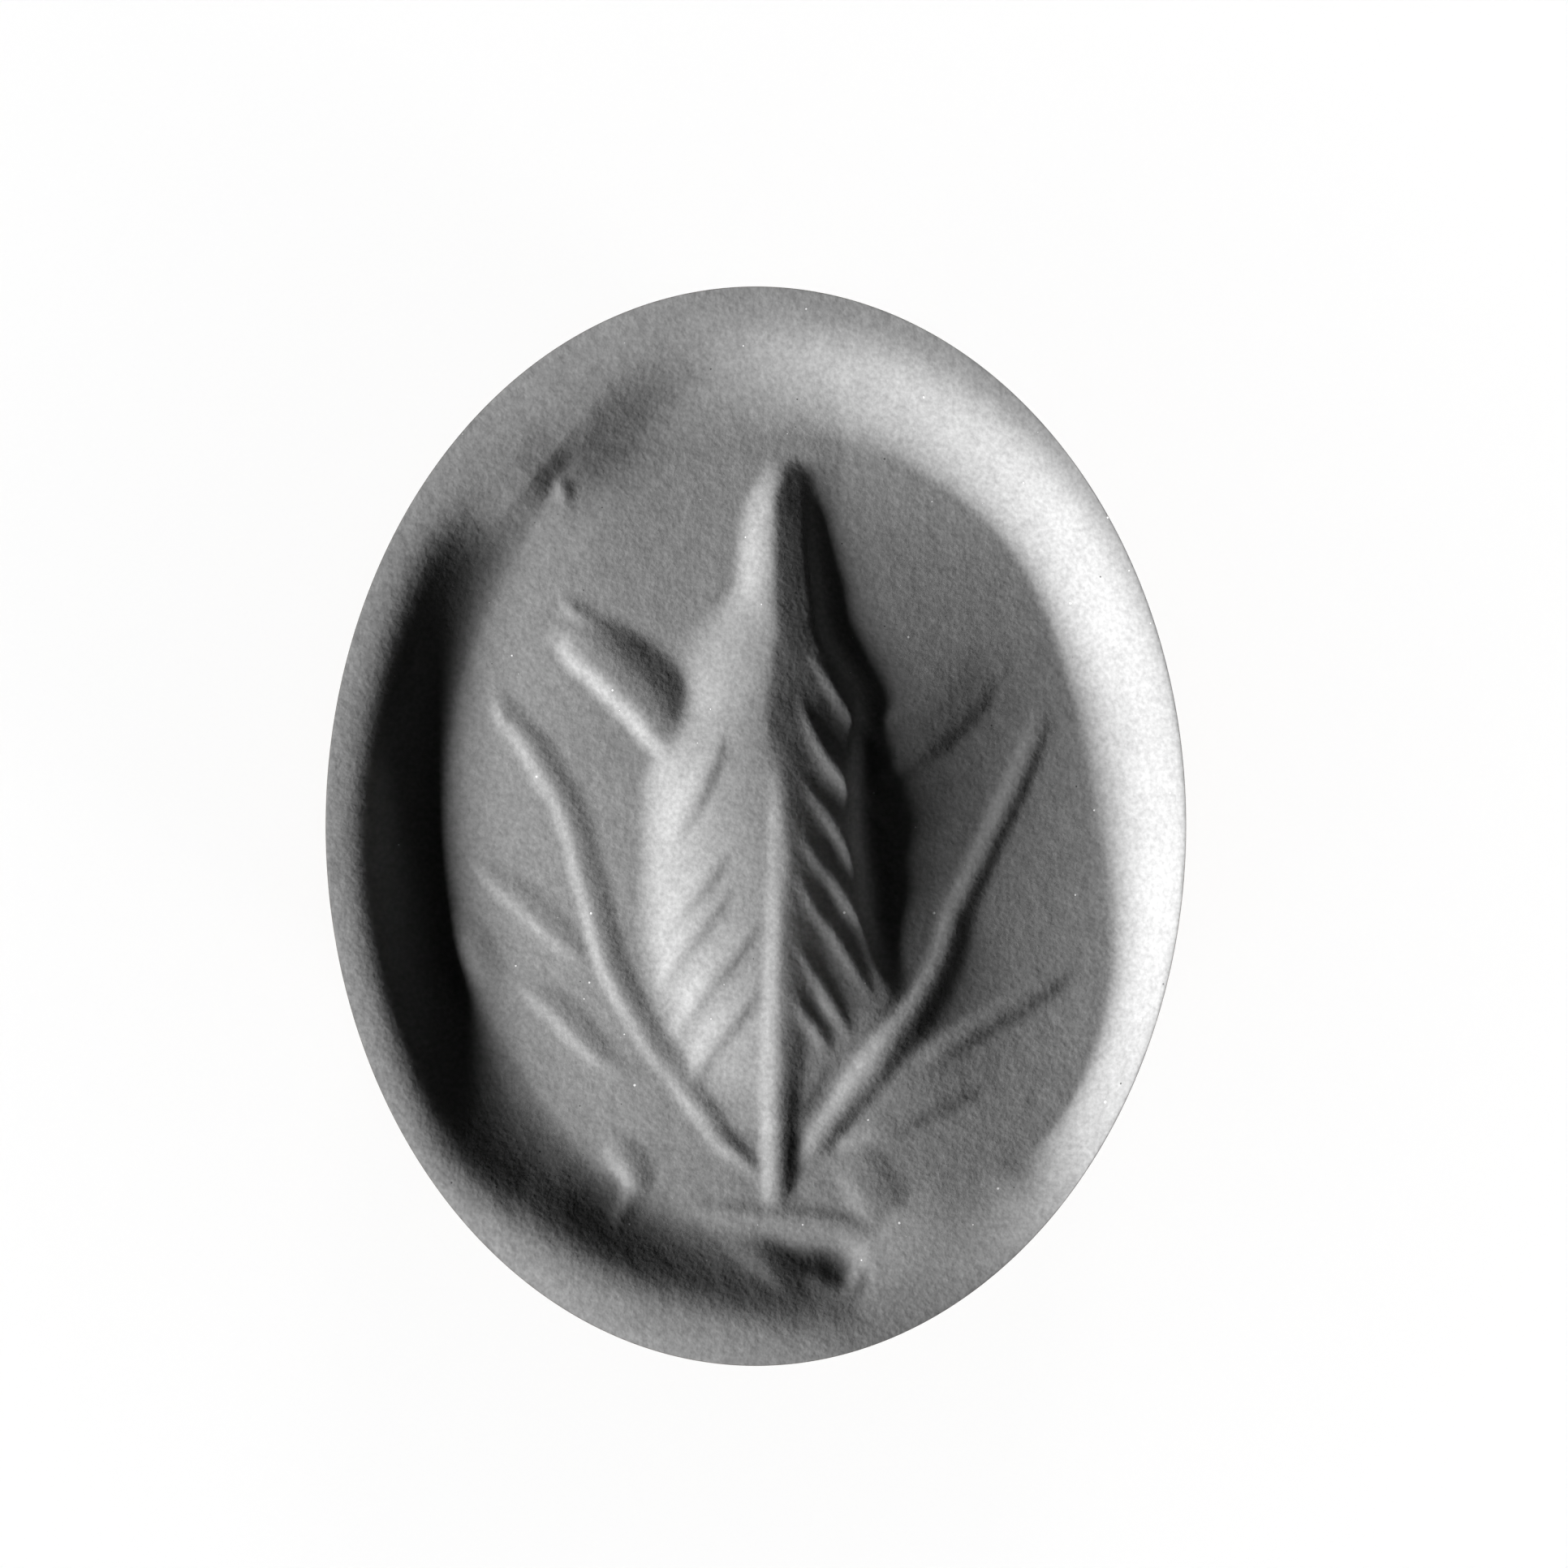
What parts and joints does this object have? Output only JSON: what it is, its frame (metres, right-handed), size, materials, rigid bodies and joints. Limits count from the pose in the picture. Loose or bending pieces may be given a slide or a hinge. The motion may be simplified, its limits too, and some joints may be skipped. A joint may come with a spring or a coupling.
{
  "type": "seal stamp",
  "caption": "Hand seal stamp with an oval sunken die in grey cast composition, showing a leafy plant in relief, in a brass cup that unscrews from a turned wooden handle.",
  "frame": {"origin": "centre of the pommel's flat foot, on which the stamp stands with its face up", "axes": "+Z from the pommel to the printing face, +Y to the top of the plant on the face, -Y to the side with the handle's brass mark"},
  "size_m": [0.0232, 0.025, 0.0803],
  "materials": {
    "composition": "cast mineral-filled composition, satin-matt",
    "cement": "set cement, matt",
    "brass": "turned and polished",
    "steel": "turned",
    "walnut": "turned and oiled walnut",
    "leather": "vegetable-tanned, cut edge"
  },
  "bodies": {
    "handle": {"handle": "walnut", "ferrule": "brass", "ferrule_pin_left": "brass", "ferrule_pin_right": "brass", "threaded_insert": "brass", "front_mark": "brass", "pommel_cap": "brass", "pommel_screw": "steel"},
    "washer": {"seat_washer": "leather"},
    "head": {"seal_die": "composition", "setting_cement": "cement", "die_cup": "brass", "threaded_stud": "steel"}
  },
  "joints": [
    {"name": "head_lift", "type": "slide", "parent": "handle", "child": "washer", "axis": [0, 0, 1], "range_m": [0, 0.00705]},
    {"name": "head_unscrew", "type": "hinge", "parent": "washer", "child": "head", "pos_m": [0, 0, 0.0623], "axis": [0, 0, 1], "range_deg": [0, 2520]}
  ],
  "couplings": [
    {"joint": "head_lift", "follows": "head_unscrew", "m_per_rad": 0.00015915}
  ]
}
